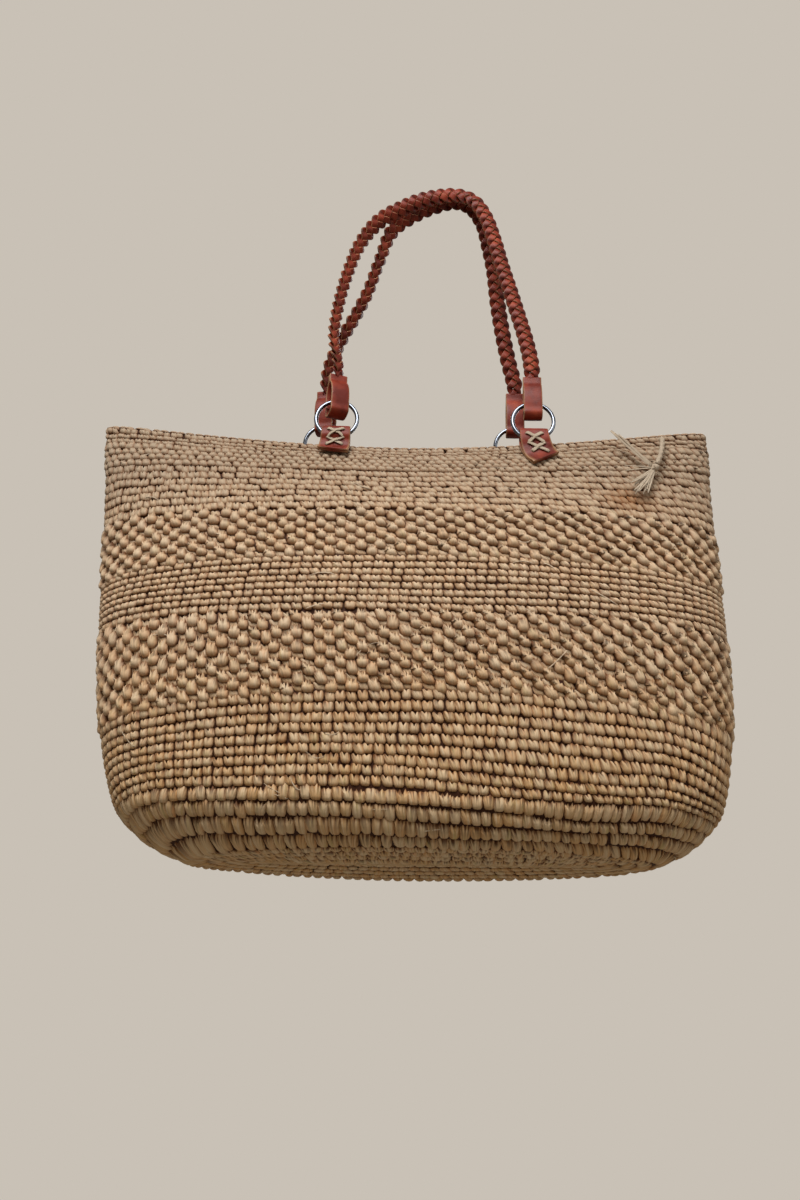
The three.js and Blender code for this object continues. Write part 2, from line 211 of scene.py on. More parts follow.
def rounded_section(width, thickness, count, power):
    """A strap's section: a superellipse, |x / half width|^power + |y / half thickness|^power = 1."""
    turn = 2 * np.pi * (np.arange(count) + 0.5) / count
    return np.stack([signed_power(np.cos(turn), 2 / power) * width / 2,
                     signed_power(np.sin(turn), 2 / power) * thickness / 2], -1)


# Materials

# Scales to the metre: clouds in the leather 14 mm wide, its pebbles 0.7 mm, and the steel's drawing marks
# 1.1 mm, which is coarser than real ones so that they show.
LEATHER_CLOUDS = (70.0, 70.0, 70.0)
LEATHER_PEBBLES = 1400.0
STEEL_MARKS = (900.0, 900.0, 900.0)

# Scales to a stitch, which is about 7.5 mm wide: folds 1.8 mm apart, fibres 0.6 mm and streaks of colour
# 4.4 mm. They run along the strand, and the third number parts each strand's pattern from the next.
RAFFIA_FOLDS = (4.2, 0.7, 37.0)
RAFFIA_FIBRES = (12.0, 1.0, 41.0)
RAFFIA_STREAKS = (1.7, 0.7, 23.0)


def linear(hex_colour):
    """An sRGB colour such as "#C9A878" as the linear RGBA that shaders take."""
    channels = [int(hex_colour[place:place + 2], 16) / 255 for place in (1, 3, 5)]
    return [c / 12.92 if c <= 0.04045 else ((c + 0.055) / 1.055) ** 2.4 for c in channels] + [1.0]


def add_node(tree, kind, settings=None, links=None):
    """Adds a node: settings are its properties or its inputs' values, links its inputs' sources."""
    made = tree.nodes.new(kind)
    for key, value in (settings or {}).items():
        if isinstance(key, str) and hasattr(made, key):
            setattr(made, key, value)
        else:
            made.inputs[key].default_value = value
    for key, source in (links or {}).items():
        tree.links.new(source, made.inputs[key])
    return made


def new_material(name):
    """A material without nodes, and its node tree."""
    material = bpy.data.materials.new(name)
    material.use_nodes = True
    material.node_tree.nodes.clear()
    return material, material.node_tree


def finish_material(material, tree, settings, links, relief=None):
    """The Principled shader with its plain values and links, and the output. Relief is the socket of a
    height, its strength and its depth."""
    if relief:
        height, strength, depth = relief
        bump = add_node(tree, "ShaderNodeBump", {"Strength": strength, "Distance": depth}, {"Height": height})
        links["Normal"] = bump.outputs[0]
    shader = add_node(tree, "ShaderNodeBsdfPrincipled", settings, links)
    add_node(tree, "ShaderNodeOutputMaterial", links={"Surface": shader.outputs[0]})
    return material


def coated(tree, ground, coats):
    """A ground colour with coats of others laid over it in turn. A coat is a colour, the socket that
    places it, that socket's values where the coat begins and is fullest, and how much it covers there."""
    colour = None
    for coat, source, begins, fullest, cover in coats:
        share = add_node(tree, "ShaderNodeMapRange", {1: begins, 2: fullest, 4: cover}, {0: source})
        under = {} if colour is None else {6: colour}
        mixed = add_node(tree, "ShaderNodeMix", {"data_type": "RGBA", 6: linear(ground), 7: linear(coat)},
                         {0: share.outputs[0], **under})
        colour = mixed.outputs[2]
    return colour


def stretched_noise(tree, vector, scale, detail, roughness=0.5):
    """Noise on a vector that is first stretched by a scale for each of its axes."""
    stretched = add_node(tree, "ShaderNodeVectorMath", {"operation": "MULTIPLY", 1: scale}, {0: vector})
    made = add_node(tree, "ShaderNodeTexNoise", {"Scale": 1.0, "Detail": detail, "Roughness": roughness},
                    {"Vector": stretched.outputs[0]})
    return made.outputs[0]


def roughness_from(tree, pattern, at_low, at_high):
    """Roughness that goes from one value to another through the middle of a pattern's range."""
    made = add_node(tree, "ShaderNodeMapRange", {1: 0.3, 2: 0.7, 3: at_low, 4: at_high}, {0: pattern})
    return made.outputs[0]


def raffia_material(name, mid, pale, warm, green, shade, crevice_shade):
    """Raffia palm leaf, stripped, dried and crocheted by hand: straw with matt streaks along each strand,
    no two strands alike, paler above the foot with a greyer tint and painted light, greyer and darker towards
    the rim with a tint and painted shade, with painted highlights on the folds and the stitches' crests and
    painted brown shade in the folds, the slits and the gaps between stitches."""
    material, tree = new_material(name)
    strand, tone = (add_node(tree, "ShaderNodeAttribute", {"attribute_name": mark}).outputs["Vector"]
                    for mark in ("strand", "tone"))
    own, rise, stain = add_node(tree, "ShaderNodeSeparateXYZ", links={0: tone}).outputs
    reach = add_node(tree, "ShaderNodeAttribute", {"attribute_name": "reach"}).outputs["Fac"]
    place = add_node(tree, "ShaderNodeTexCoord").outputs["Object"]
    height = add_node(tree, "ShaderNodeSeparateXYZ", links={0: place}).outputs[2]
    folds = stretched_noise(tree, strand, RAFFIA_FOLDS, 1.0)
    fibres = stretched_noise(tree, strand, RAFFIA_FIBRES, 3.0, 0.6)
    hue = stretched_noise(tree, strand, RAFFIA_STREAKS, 1.0)
    # Masks for painted shade in the folds' dips and in the slits at the top of each stitch.
    upper = add_node(tree, "ShaderNodeMapRange", {1: -0.15, 2: 0.35}, {0: reach}).outputs[0]
    dips = add_node(tree, "ShaderNodeMapRange", {1: 0.54, 2: 0.42}, {0: folds}).outputs[0]
    slits = add_node(tree, "ShaderNodeMath", {"operation": "MULTIPLY"}, {0: upper, 1: dips}).outputs[0]
    colour = coated(tree, mid, [
        (pale, own, 0.0, 1.0, 1.0),
        (warm, hue, 0.56, 0.78, 0.7),
        (green, hue, 0.42, 0.24, 0.6),
        # Painted shade in the dips of the folds and painted highlight on their crests.
        (crevice_shade, folds, 0.44, 0.28, 0.32),
        (pale, folds, 0.54, 0.70, 0.7),
        # Painted light with a greyer tint: paler above the foot.
        (UPPER_TINT_AND_PAINTED_LIGHT, height, 0.0, 0.16, 0.5),
        (crevice_shade, fibres, 0.46, 0.28, 0.32),
        # Painted shade in the slits at the top of each stitch.
        (crevice_shade, slits, 0.0, 1.0, 0.85),
        (pale, fibres, 0.56, 0.74, 0.5),
        # Painted shade with a greyer tint: darker towards the rim.
        (RIM_TINT_AND_PAINTED_SHADE, height, 0.22, 0.29, 0.62),
        (STAIN_BROWN, stain, 0.1, 1.0, 0.75),
        # Painted highlight on each stitch's crest, painted brown shade where its relief falls away, and the
        # darkest painted shade deep between stitches.
        (pale, rise, 0.75, 1.0, 0.12),
        (shade, rise, 0.9, 0.35, 0.55),
        (crevice_shade, rise, 0.6, 0.1, 0.97),
    ])
    ridges = add_node(tree, "ShaderNodeMath", {"operation": "MULTIPLY_ADD", 1: 0.35}, {0: fibres, 2: folds})
    links = {"Base Color": colour, "Roughness": roughness_from(tree, fibres, 0.72, 0.52)}
    relief = ridges.outputs[0], 0.8, 0.7 * MM
    return finish_material(material, tree, {"Specular IOR Level": 0.22}, links, relief)


def leather_material():
    """Vegetable tanned cowhide, dyed red brown and cut into straps: a satin pebbled face with scuffs,
    darker in its dye's clouds, painted shade in the plait's hollows, and raw tan edges where the knife went."""
    material, tree = new_material("vegetable_tanned_leather")
    place = add_node(tree, "ShaderNodeTexCoord").outputs["Object"]
    cut, hollow_shade = (add_node(tree, "ShaderNodeAttribute", {"attribute_name": mark}).outputs["Fac"]
                   for mark in ("cut", "hollow_shade"))
    clouds = stretched_noise(tree, place, LEATHER_CLOUDS, 3.0, 0.55)
    grain = add_node(tree, "ShaderNodeTexVoronoi", {"Scale": LEATHER_PEBBLES}, {"Vector": place})
    colour = coated(tree, "#641C0C", [
        ("#8E341C", clouds, 0.38, 0.66, 1.0),
        ("#A85434", clouds, 0.62, 0.80, 0.5),
        ("#9A7250", cut, 0.0, 1.0, 1.0),
        # Painted shade in the plait's hollows, where a strap dives under the others.
        ("#2C0C05", hollow_shade, 0.1, 1.0, 0.85),
    ])
    links = {"Base Color": colour, "Roughness": roughness_from(tree, clouds, 0.42, 0.6)}
    relief = grain.outputs[0], 0.25, 0.2 * MM
    return finish_material(material, tree, {"Specular IOR Level": 0.32}, links, relief)


def steel_material():
    """Polished steel wire, bent round and welded: a bright mirror with faint drawing marks."""
    material, tree = new_material("polished_steel_wire")
    place = add_node(tree, "ShaderNodeTexCoord").outputs["Object"]
    marks = stretched_noise(tree, place, STEEL_MARKS, 2.0)
    return finish_material(material, tree, {"Base Color": linear("#787D86"), "Metallic": 1.0},
                           {"Roughness": roughness_from(tree, marks, 0.16, 0.24)})


def floor_material():
    """A plain pale painted floor, a little brighter to the camera than the light that it gives back."""
    material, tree = new_material("pale_floor_paint")
    seen = add_node(tree, "ShaderNodeLightPath").outputs["Is Camera Ray"]
    glow = add_node(tree, "ShaderNodeMath", {"operation": "MULTIPLY", 1: 0.46}, {0: seen})
    paint = {"Base Color": linear("#CFC9BF"), "Roughness": 0.9, "Emission Color": linear("#EDE5DA")}
    return finish_material(material, tree, paint, {"Emission Strength": glow.outputs[0]})


# Painted light and painted shade by height, each with a greyer tint, and the brown of a real stain.
UPPER_TINT_AND_PAINTED_LIGHT = "#CAB49E"
RIM_TINT_AND_PAINTED_SHADE = "#8A7A6A"
STAIN_BROWN = "#8E5E32"
# After the straw's own colours come two painted shades: brown where the relief falls away, and the darkest
# brown deep between stitches.
RAFFIA = raffia_material("crocheted_raffia", "#C6924E", "#D4BC98", "#CC9058", "#B49E5C", "#90521A", "#381604")
PALE_RAFFIA = raffia_material("pale_raffia_strands", "#C4AA84", "#DED0B6", "#CFA890", "#B8A67E", "#A08058",
                              "#6B4A2C")
LEATHER = leather_material()
STEEL = steel_material()


# The bag's wall

BASE_HALF_LENGTH = 160 * MM
BASE_HALF_DEPTH = 46 * MM
RIM_HEIGHT = 309 * MM
EAR_POWER = 1.8
MOUTH_SWAY = -12 * MM
WALL = 5 * MM
END_WALL = 9 * MM
RIM_CREST = 1.2 * MM

# The wall's level sections, as in the model: half width, half depth, height at the front's middle and rise
# from there to the ends, in millimetres, and the power of the superellipse.
SECTIONS = np.array([
    [160, 46, 0, 0, 2.1], [184, 62, 4, 7, 2.2], [200, 73, 15, 9, 2.3], [212, 80, 35, 6, 2.35],
    [222, 80, 99, -9, 2.35], [226, 76, 159, 2, 2.3], [226, 68, 204, -3, 2.25], [226, 56, 245, 3, 2.2],
    [227, 35, 284, 14.4, 2.1], [228, 20, 309, 24, 2],
]) * [MM, MM, MM, MM, 1]
RIM = len(SECTIONS) - 1
INSIDE = RIM + 1

COURSE_STEP = 0.02
FIRST_COURSE = -1.0
LAST_COURSE = float(INSIDE + RIM)
GIRTH_STEPS = 1440
GIRTH_SAMPLES = 4097
SLIP_LIMIT = 0.04
FRONT_MIDDLE = 0.5


def section_at(level):
    """The section table at any level, on a smooth curve through its rows."""
    low = np.clip(np.floor(level).astype(int), 0, RIM - 1)
    t = (level - low)[:, None]
    start, end = SECTIONS[low], SECTIONS[low + 1]
    leave = np.where(low[:, None] == 0, end - start, (end - SECTIONS[np.maximum(low - 1, 0)]) / 2)
    arrive = np.where(low[:, None] == RIM - 1, end - start, (SECTIONS[np.minimum(low + 2, RIM)] - start) / 2)
    return ((2 * t**3 - 3 * t**2 + 1) * start + (3 * t**2 - 2 * t**3) * end
            + (t**3 - 2 * t**2 + t) * leave + (t**3 - t**2) * arrive).T[:, :, None]


def wall_rings(courses, angles):
    """Points of the wall on each course at each angle. A section is a superellipse, |x / half width|^power
    + |y / half depth|^power = 1, that rises by |x / half width|^EAR_POWER. Courses below 0 shrink the
    base's oval to its middle line, 0 to RIM climb the outside, one more goes over the rim in half a cosine
    wave and the rest go down the inside."""
    over = np.clip(courses - RIM, 0, 1)
    level = np.clip(courses, 0, RIM) - np.clip(courses - INSIDE, 0, RIM)
    inset = ((1 - np.cos(np.pi * over)) / 2)[:, None]
    closing = np.clip(-courses, 0, 1)[:, None]
    width, depth, height, rise, power = section_at(level)
    width = width - inset * END_WALL - closing * BASE_HALF_DEPTH
    depth = (depth - inset * WALL) * (1 - closing)
    cos, sin = np.cos(angles)[None], np.sin(angles)[None]
    across = signed_power(cos, 2 / power)
    deep = signed_power(sin, 2 / power)
    z = np.maximum(height + rise * np.abs(across) ** EAR_POWER, 0)
    sway = MOUTH_SWAY * z / RIM_HEIGHT + MODEL_SHIFT
    lift = inset * WALL * (1 - level[:, None] / RIM) + RIM_CREST * np.sin(np.pi * over)[:, None]
    return np.stack([width * across + sway, depth * deep, z + lift], -1)


def wall_table():
    """The wall at even shares of each course's girth, its outward normals, the girths, and how far the
    share moves for each course climbed square to the rows."""
    courses = np.arange(FIRST_COURSE, LAST_COURSE + COURSE_STEP / 2, COURSE_STEP)
    angles = np.linspace(0.5 * np.pi, 2.5 * np.pi, GIRTH_SAMPLES)
    rings = wall_rings(courses, angles)
    lengths = [lengths_along(ring) for ring in rings]
    girths = np.array([along[-1] for along in lengths])
    shares = np.arange(GIRTH_STEPS) / GIRTH_STEPS
    even = np.array([[np.interp(shares * along[-1], along, values) for values in ring.T]
                     for ring, along in zip(rings, lengths)]).transpose(0, 2, 1)
    around = (np.roll(even, -1, 1) - np.roll(even, 1, 1)) * GIRTH_STEPS / 2
    climb = np.gradient(even, COURSE_STEP, axis=0)
    slip = -np.sum(climb * around, -1) / np.sum(around * around, -1)
    return even, unit(np.cross(around, climb)), girths, np.clip(slip, -SLIP_LIMIT, SLIP_LIMIT)


# The model's sway moves it off its middle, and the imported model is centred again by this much.
MODEL_SHIFT = 0.0
swayed = wall_rings(np.arange(0, RIM + 0.01, 0.05), np.array([0.0, np.pi]))
MODEL_SHIFT = float(sum(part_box("bag_body")[side][0] for side in (0, 1)) / 2
                    - (swayed[..., 0].max() + swayed[..., 0].min()) / 2)
WALL_POINTS, WALL_NORMALS, WALL_GIRTHS, WALL_SLIPS = wall_table()


def on_wall(course, share, out):
    """Points of the wall at courses and shares of the girth, moved out along its normals."""
    row = np.clip((course - FIRST_COURSE) / COURSE_STEP, 0, len(WALL_POINTS) - 1.001)
    column = np.mod(share, 1.0) * GIRTH_STEPS
    low, left = row.astype(int), column.astype(int) % GIRTH_STEPS
    right = (left + 1) % GIRTH_STEPS
    up, over = (row - low)[..., None], (column - np.floor(column))[..., None]

    def blended(table):
        return ((table[low, left] * (1 - over) + table[low, right] * over) * (1 - up)
                + (table[low + 1, left] * (1 - over) + table[low + 1, right] * over) * up)

    return blended(WALL_POINTS) + unit(blended(WALL_NORMALS)) * np.asarray(out)[..., None]


def slip_at(course, share):
    """The share moved for each course climbed, at the table's nearest place."""
    row = np.clip(np.rint((course - FIRST_COURSE) / COURSE_STEP), 0, len(WALL_SLIPS) - 1).astype(int)
    return WALL_SLIPS[row, (np.mod(share, 1.0) * GIRTH_STEPS).astype(int) % GIRTH_STEPS]


def girth_at(course):
    """The wall's girth at a course."""
    place = (np.asarray(course) - FIRST_COURSE) / COURSE_STEP
    return np.interp(place, np.arange(len(WALL_GIRTHS)), WALL_GIRTHS)


def row_edges(low, high, count):
    """Courses that part a band into rows of even height, measured up the middle of the front."""
    courses = np.linspace(low, high, 200)
    along = lengths_along(on_wall(courses, FRONT_MIDDLE, 0.0))
    return np.interp(np.linspace(0, along[-1], count + 1), along, courses)


# The foot's rows, with their edges in courses and their stitches to a row. They lie lower near the bag's
# left end, its right front corner and its right end. Each sag is the share of the girth where they lie
# lowest, how far along the girth this reaches, and the fall at each of SAG_COURSES.
FOOT_EDGES = [0.0, 0.98, 1.87, 2.56, 2.95]
FOOT_COUNTS = [106, 122, 132, 138]
SAG_COURSES = [*FOOT_EDGES, 3.5, 4.03]
SAGS = [
    (0.235, 0.085, [0.0, 0.42, 0.64, 0.62, 0.30, 0.10, 0.0]),
    (0.640, 0.165, [0.0, 0.29, 0.58, 0.75, 0.34, 0.08, 0.0]),
    (0.735, 0.075, [0.0, 0.30, 0.50, 0.55, 0.55, 0.30, 0.0]),
]


def sagged(course, share):
    """Courses lowered by the sags: a sag is half a cosine wave to each side of its middle."""
    lowered = course
    for middle, reach, falls in SAGS:
        near = np.clip(np.abs(np.mod(share, 1.0) - middle) / reach, 0, 1)
        lowered = lowered - (1 + np.cos(np.pi * near)) / 2 * np.interp(course, SAG_COURSES, falls)
    return lowered


# Crochet stitches

SPOKE_TURNS = np.radians([0, 4, 14, 32, 56, 84, 115, 148, 180, -148, -115, -84, -56, -32, -14, -4])
SPOKES = len(SPOKE_TURNS)
LOWER_POWER = 2.4
GROOVE_POWER = 2.6
BACK = -0.45
LOWER_LIP = 0.28
STRAND_SHIFT = 5
LEFT_CORNER = 0.27
CORNER_REACH = 0.05
STAIN_PLACE = np.array([0.160, 0.0, 0.262])
STAIN_SIZE = np.array([0.020, 1.0, 0.011])


def pad_form(radii, square, full, taper, crown, notches, groove, fold):
    """A stitch seen from its front: rings of spokes, a front pole and a back pole. Its outline is a
    superellipse, round below and squarer above, that narrows upwards by the taper; crown moves the pole.
    Across and up are shares of the stitch's width and height. Out is its relief: a rope from its lower to
    its upper edge, sqrt(1 - |2 up|^full), that sinks towards the sides by the groove and, by the fold,
    along the middle of the upper half. Cut is how far each point sinks into the notches between the arms
    at the top, given for the spokes from the middle outwards."""
    turn = np.pi / 2 + SPOKE_TURNS
    cos, sin = np.cos(turn), np.sin(turn)
    power = 2 / np.where(sin > 0.01, square, LOWER_POWER)
    across, up = 0.5 * signed_power(cos, power), 0.5 * signed_power(sin, power)
    aside = np.minimum(np.arange(SPOKES), SPOKES - np.arange(SPOKES))
    notch = np.interp(aside, np.arange(len(notches)), notches, right=0.0)
    radii = np.array(radii)
    form = {
        "across": np.outer(radii, across * (1 - taper * 2 * np.maximum(up, 0))),
        "up": crown * (1 - radii[:, None]) + np.outer(radii, up),
        "cut": np.outer(radii, notch),
    }
    rope = np.sqrt(np.maximum(1 - np.abs(np.outer(radii, 2 * up)) ** full, 0))
    form["out"] = rope * (1 - groove * np.abs(np.outer(radii, 2 * across)) ** GROOVE_POWER)
    form["out"] *= 1 - fold * np.outer(radii, aside == 0)
    form["out"][-1] = BACK
    for key, pole in (("across", 0), ("up", crown), ("cut", 0), ("out", 1)):
        form[key] = np.concatenate([form[key].ravel(), [pole, BACK if key == "out" else 0]])
    form["faces"] = [np.roll(face[:, ::-1], 1, 1) for face in tube_faces(len(radii), SPOKES)]
    return form


TULIP = pad_form([0.5, 0.82, 1.0, 0.85], square=2.8, full=2.0, taper=0.0, crown=-0.06, notches=[1, 0.7, 0.1],
                 groove=0.72, fold=0.1)
PRONGS = pad_form([0.5, 0.82, 1.0, 0.85], square=3.6, full=2.6, taper=0.0, crown=-0.06,
                  notches=[1, 0.5, 0.0, 0.7, 0.1], groove=0.42, fold=0.12)
BOBBLE = pad_form([0.5, 0.84, 1.0, 0.85], square=3.0, full=2.6, taper=0.1, crown=-0.12,
                  notches=[0.1, 0.3, 1, 0, 0.6], groove=0.8, fold=0.12)


def scatter(size, middle, spread):
    """Random numbers about a middle, no further than twice the spread."""
    return middle + spread * np.clip(chance.standard_normal(size), -2, 2)


def stain_at(points):
    """How brown the raffia is in the patch under the tassel."""
    x, y, z = ((points - STAIN_PLACE) / STAIN_SIZE).T
    return np.exp(-(x * x + z * z)) * (y < 0)


def lay_stitches(form, course, share, tall, wide, proud, top, notch, lean):
    """Lays one form at columns of courses and shares. tall is in courses and wide in shares of the girth;
    each stitch stands proud by its own height and its top lies at top over the wall. A lean shifts the
    upper end to the left by that share of the width."""
    count, size = len(course), len(form["across"])
    up = form["up"] - form["cut"] * notch
    across = form["across"] - lean * form["up"]
    out = top - proud + proud * (form["out"] * (1 - LOWER_LIP * form["up"]))
    climb = up * tall
    aside = across * wide + climb * slip_at(course, share)
    points = on_wall(sagged(course + climb, share), share + aside, out)
    own = chance.random((count, 3)) * [STRAND_SHIFT, STRAND_SHIFT, 1]
    spread = form["across"] / (0.75 + 0.5 * form["up"])
    strand = np.stack(np.broadcast_arrays(spread + own[:, :1], up + own[:, 1:2], own[:, 2:]), -1)
    # The relief, from which the material paints a highlight on each stitch's crest and shade towards its
    # edges.
    rise = np.clip(form["out"], 0, 1)
    stain = stain_at(points[:, -2])[:, None]
    tone = np.stack(np.broadcast_arrays(0.2 + 0.6 * chance.random((count, 1)), rise, stain), -1)
    offset = (np.arange(count) * size)[:, None, None]
    faces = [(face + offset).reshape(-1, face.shape[1]) for face in form["faces"]]
    return points.reshape(-1, 3), faces, {"strand": strand.reshape(-1, 3), "tone": tone.reshape(-1, 3),
                                          "reach": np.tile(form["up"], count)}


def lay_rows(edges, counts, style):
    """Rows of one style between the edges, counts stitches to a row, in slow waves of a small part of a
    row. Each next row starts on by the stagger. Where the style has a turn, it fills every other place."""
    parts = []
    for row, (low, high, count) in enumerate(zip(edges[:-1], edges[1:], counts)):
        column = np.arange(count)
        if style["turn"] is not None:
            column = column[(row + column) % 2 == style["turn"]]
        pitch, size = high - low, (len(column), 1)
        share = (column[:, None] + style["stagger"] * row + scatter(size, 0, style["loose"])) / count
        wave = np.sin(2 * np.pi * (3 * share + 0.05 * row)) + np.sin(2 * np.pi * (7 * share + 0.08 * row))
        course = (low + high) / 2 + pitch * (0.06 * wave + scatter(size, 0, 0.4 * style["ragged"]))
        corner = np.exp(-(((np.mod(share, 1.0) - LEFT_CORNER) / CORNER_REACH) ** 2))
        parts.append(lay_stitches(
            style["form"], course, share,
            tall=pitch * style["tall"] * scatter(size, 1, 0.05) * (1 + style["drawn"] * corner),
            wide=style["wide"] / count * scatter(size, 1, 0.06),
            proud=style["proud"] * scatter(size, 1, 0.09),
            top=style["top"],
            notch=np.maximum(scatter(size, style["notch"], style["ragged"]), 0),
            lean=scatter(size, style["lean"], 0.12) + 0.12 * np.sin(2 * np.pi * (share - FRONT_MIDDLE)),
        ))
    return parts


# A style is a form with its height in rows and its width in columns, how far it stands proud, where its
# top lies over the wall, and its notch and lean. Ragged and loose are how unevenly it is made and lies,
# drawn is how much taller it is at the left corner, and stagger and turn say which places it takes.
PLAIN_STITCH = dict(form=TULIP, tall=1.2, wide=1.08, proud=3.6 * MM, top=0.5 * MM, notch=0.26, lean=0.2,
                    ragged=0.1, loose=0.05, drawn=0.0, stagger=0.12, turn=None)
TALL_STITCH = dict(PLAIN_STITCH, form=PRONGS, tall=1.14, wide=1.1, proud=4.6 * MM, top=0.9 * MM, notch=0.12,
                   lean=0.14, drawn=0.3)
BASE_STITCH = dict(TALL_STITCH, tall=1.1, wide=1.12, proud=2.6 * MM, top=0.0, notch=0.04, stagger=0.5)
FINE_STITCH = dict(PLAIN_STITCH, tall=1.32, wide=1.26, proud=3.0 * MM, top=0.4 * MM, notch=0.34, lean=0.4,
                   ragged=0.24, loose=0.12)
BOBBLE_STITCH = dict(PLAIN_STITCH, form=BOBBLE, tall=2.0, wide=1.28, proud=5.8 * MM, top=2.0 * MM, notch=0.42,
                     lean=0.3, ragged=0.2, loose=0.1, stagger=0.0, turn=0)
FLAT_STITCH = dict(PLAIN_STITCH, tall=1.4, wide=1.2, proud=2.6 * MM, top=-1.5 * MM, notch=0.5, lean=0.5,
                   stagger=0.0, turn=1)
BEAD_STITCH = dict(BOBBLE_STITCH, tall=1.62, wide=1.26, proud=3.7 * MM, top=1.2 * MM, notch=0.24, loose=0.04,
                   stagger=0.5, turn=None)
INSIDE_STITCH = dict(PLAIN_STITCH, proud=1.5 * MM, top=0.3 * MM)
EDGE_STITCH = dict(INSIDE_STITCH, top=0.7 * MM, notch=0.1)

COLUMNS = 140
FINE_COLUMNS = 180
BEAD_COLUMNS = 150
BASE_EDGES = np.array([-1.03, -0.75, -0.5, -0.25, 0.0])
BASE_STITCH_WIDTH = 7.0 * MM
EDGE_ROW = [9.08, 9.92]
INSIDE_EDGES = [9.92, 10.2, 10.45, 10.7]

# Each band from the foot to the rim: its lowest and highest course, its rows, its stitches to a row and
# its styles.
BANDS = [
    ("lower_plain_rows", 2.95, 4.03, 9, COLUMNS, [PLAIN_STITCH]),
    ("lower_bobbles", 4.03, 5.0, 10, COLUMNS, [BOBBLE_STITCH, FLAT_STITCH]),
    ("middle_plain_rows", 5.0, 6.0, 8, COLUMNS, [PLAIN_STITCH]),
    ("upper_bobbles", 6.0, 7.0, 8, COLUMNS, [BOBBLE_STITCH, FLAT_STITCH]),
    ("upper_plain_rows", 7.0, 8.0, 7, FINE_COLUMNS, [FINE_STITCH]),
    ("beaded_band", 8.0, 8.6, 4, BEAD_COLUMNS, [BEAD_STITCH]),
    ("rim_rows", 8.6, 9.08, 3, FINE_COLUMNS, [FINE_STITCH]),
]


def place_crochet(name, parts):
    fit_piece(name, join_parts(parts), RAFFIA, "bag_body")


def crochet_bands():
    """The bag's rows from the base up: ovals of the base, tall rows round the foot, the bands, and the
    edge with the first rows inside it."""
    base_counts = [int(girth_at(edge) / BASE_STITCH_WIDTH) for edge in BASE_EDGES[:-1] + 0.12]
    place_crochet("base_rows", lay_rows(BASE_EDGES, base_counts, BASE_STITCH))
    place_crochet("foot_rows", lay_rows(FOOT_EDGES, FOOT_COUNTS, TALL_STITCH))
    for name, low, high, rows, columns, styles in BANDS:
        edges = row_edges(low, high, rows)
        place_crochet(name, sum((lay_rows(edges, [columns] * rows, style) for style in styles), []))
    place_crochet("rim_edge", lay_rows(EDGE_ROW, [COLUMNS], EDGE_STITCH)
                  + lay_rows(INSIDE_EDGES, [COLUMNS] * 3, INSIDE_STITCH))


def raffia_strand(path, normals, section, tone, sizes=1.0):
    """A section carried along a path as one strand of raffia, in its own place of the pattern."""
    points, faces, marks = carry(path, normals, section, sizes)
    strand = marks["strand"] / (3 * MM)
    strand[:, 2] = chance.random() * 9
    return points, faces, {"strand": strand, "tone": np.tile([tone, 1.0, 0.0], (len(strand), 1))}


CHAIN_STEPS = 240
CHAIN_WIDTH = 9 * MM
CHAIN_DEPTH = 3.6 * MM
CHAIN_HEIGHT = 1.7 * MM


def base_chain():
    """The base's middle line: a flat round strand, 0.85 + 0.15 |sin| times as thick along each stitch."""
    half = BASE_HALF_LENGTH - BASE_HALF_DEPTH + 3 * MM
    along = np.linspace(-half, half, CHAIN_STEPS)
    path = np.column_stack([along + MODEL_SHIFT, 0 * along, 0 * along + CHAIN_HEIGHT])
    sizes = 0.85 + 0.15 * np.abs(np.sin(np.pi * along / BASE_STITCH_WIDTH))
    section = rounded_section(CHAIN_WIDTH, CHAIN_DEPTH, 14, 2.4)
    place_crochet("base_chain", [raffia_strand(path, np.tile(-UP, (CHAIN_STEPS, 1)), section, 0.4, sizes)])


# How far the core lies out of the wall, in millimetres, at courses from the base's edge to the crest.
CORE_COURSES = [0.0, 0.5, 2.9, 3.2, RIM, RIM + 0.01]
CORE_OUT = [-2.3, -1.7, -1.7, -2.7, -2.7, -1.2]
CORE_COLUMNS = 560
RIBS_TO_A_COURSE = 5


def bag_core():
    """The crochet's body behind the stitches: painted dark brown between them on the outside, a painted shade
    for the depths there, and on the inside a wall whose ribs are a half wave for each row and each stitch,
    with a little painted shade between the ribs."""
    courses = np.concatenate([np.linspace(FIRST_COURSE, RIM, 40), [RIM + 0.5],
                              np.linspace(INSIDE, LAST_COURSE, 130)])
    course, share = np.meshgrid(courses, np.arange(CORE_COLUMNS) / CORE_COLUMNS, indexing="ij")
    ribs = np.abs(np.sin(np.pi * course * RIBS_TO_A_COURSE)) * np.abs(np.sin(np.pi * share * COLUMNS))
    within = course > RIM + 0.9
    out = np.where(within, -0.4 * MM + 0.9 * MM * ribs, np.interp(course, CORE_COURSES, CORE_OUT) * MM)
    # Rise 0 paints the outside of the core with the darkest painted shade; inside, a little painted shade
    # falls between the ribs.
    rise = np.where(within, 0.75 + 0.25 * ribs, 0.0)
    flat = np.zeros_like(share)
    poles = [[MODEL_SHIFT, 0.0, 2.7 * MM], [MODEL_SHIFT, 0.0, WALL]]
    points = np.concatenate([on_wall(course, share, out).reshape(-1, 3), poles])
    marks = {"strand": (share * 400, course * 8, flat), "tone": (flat + 0.3, rise, flat)}
    marks = {key: np.concatenate([np.stack(values, -1).reshape(-1, 3), np.zeros((2, 3))])
             for key, values in marks.items()}
    place_crochet("bag_core", [(points, tube_faces(len(courses), CORE_COLUMNS), marks)])


STRAY_STRANDS = 70


